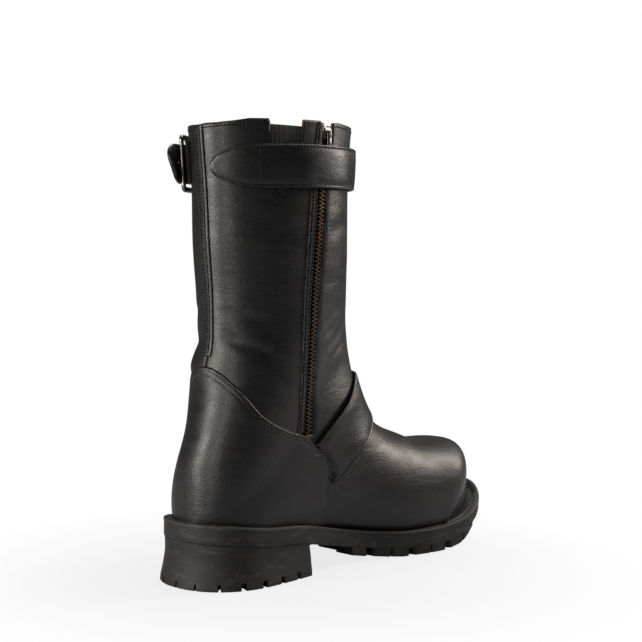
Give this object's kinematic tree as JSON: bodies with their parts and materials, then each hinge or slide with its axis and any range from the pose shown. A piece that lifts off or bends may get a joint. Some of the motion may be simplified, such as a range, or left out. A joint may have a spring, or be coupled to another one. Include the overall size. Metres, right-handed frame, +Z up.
{
  "type": "engineer boot",
  "caption": "Left engineer boot in oiled black leather: tall shaft with side zip, elastic gore and buckled collar strap, buckled instep strap, round toe, welted lug sole and notched block heel.",
  "frame": {"origin": "middle of the heel's flat ground face, on the floor", "axes": "+Z up to the collar, +Y to the toe, +X to the medial side, which on this left boot is the side with the zip"},
  "size_m": [0.1073, 0.3087, 0.3296],
  "materials": {
    "boot_leather": "oiled, soft satin",
    "strap_leather": "oiled, smooth satin",
    "sole_rubber": "moulded, matte",
    "welt_rubber": "trimmed, satin",
    "insole_lining": "unfinished",
    "gore_elastic": "ribbed elastic",
    "zip_tape_cloth": "woven",
    "zip_brass": "antiqued",
    "nickel_plate": "polished nickel plate"
  },
  "bodies": {
    "boot": {"outsole": "sole_rubber", "heel": "sole_rubber", "welt": "welt_rubber", "insole": "insole_lining", "upper": "boot_leather", "counter": "boot_leather", "back_strip": "boot_leather", "gore": "gore_elastic", "zip_tape": "zip_tape_cloth", "zip_chain": "zip_brass", "zip_stop": "zip_brass", "zip_slider": "zip_brass", "collar_strap": "strap_leather", "collar_chape": "strap_leather", "collar_buckle": "nickel_plate", "collar_prong": "nickel_plate", "instep_strap": "strap_leather", "instep_chape": "strap_leather", "instep_buckle": "nickel_plate", "instep_prong": "nickel_plate"},
    "pull": {"zip_pull": "nickel_plate"}
  },
  "joints": [
    {"name": "pull_swing", "type": "hinge", "parent": "boot", "child": "pull", "pos_m": [0.04866, 0.05635, 0.3225], "axis": [0.1128, -0.9936, 0], "range_deg": [0, 3]}
  ]
}
